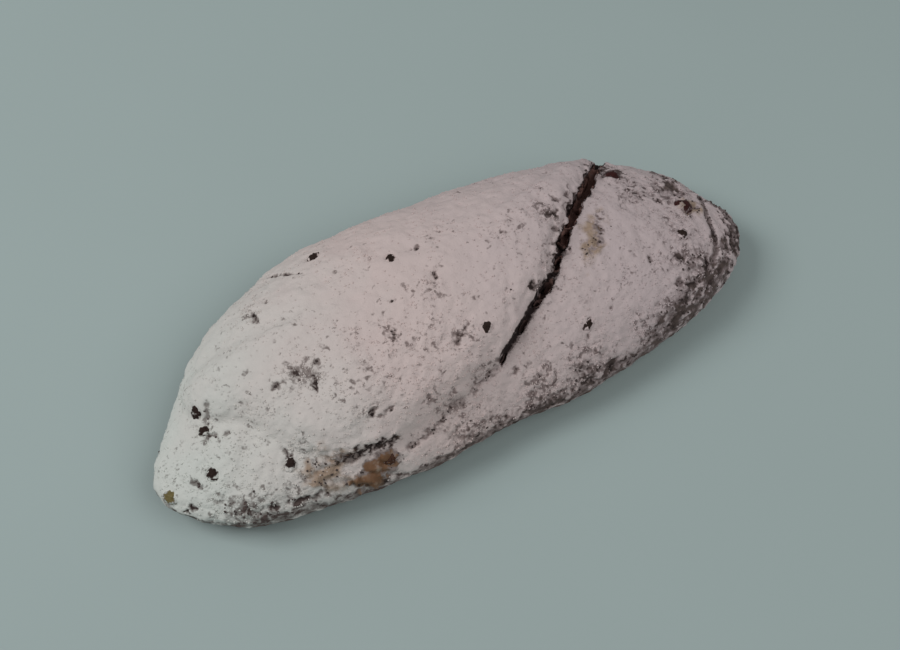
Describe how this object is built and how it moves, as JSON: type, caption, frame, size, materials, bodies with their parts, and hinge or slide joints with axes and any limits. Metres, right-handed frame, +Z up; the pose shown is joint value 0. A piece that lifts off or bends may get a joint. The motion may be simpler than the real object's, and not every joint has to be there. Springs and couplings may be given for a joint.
{
  "type": "stollen",
  "caption": "Long loaf of folded fruit bread dusted with powdered sugar, its fold gaping in a dark crack near one end, with fruit showing at the surface.",
  "frame": {"origin": "on the ground plane, under the middle of the loaf's bounding box", "axes": "+X along the loaf towards the end where the fold gapes in a crack, +Y towards the side where the dough is folded over, +Z up"},
  "size_m": [0.3154, 0.1318, 0.0619],
  "materials": {
    "sugared_crust": "powdered sugar over baked crust, matt",
    "raisin": "dark dried fruit, faint sheen",
    "cherry": "candied, dark red, glossy",
    "candied_peel": "candied, yellow-brown, half clear"
  },
  "bodies": {
    "root": {"dough": "sugared_crust", "raisin_1": "raisin", "raisin_2": "raisin", "raisin_3": "raisin", "raisin_4": "raisin", "raisin_5": "raisin", "raisin_6": "raisin", "raisin_7": "raisin", "raisin_8": "raisin", "raisin_9": "raisin", "raisin_10": "raisin", "cherry_1": "cherry", "cherry_2": "cherry", "candied_peel_1": "candied_peel"}
  },
  "joints": []
}
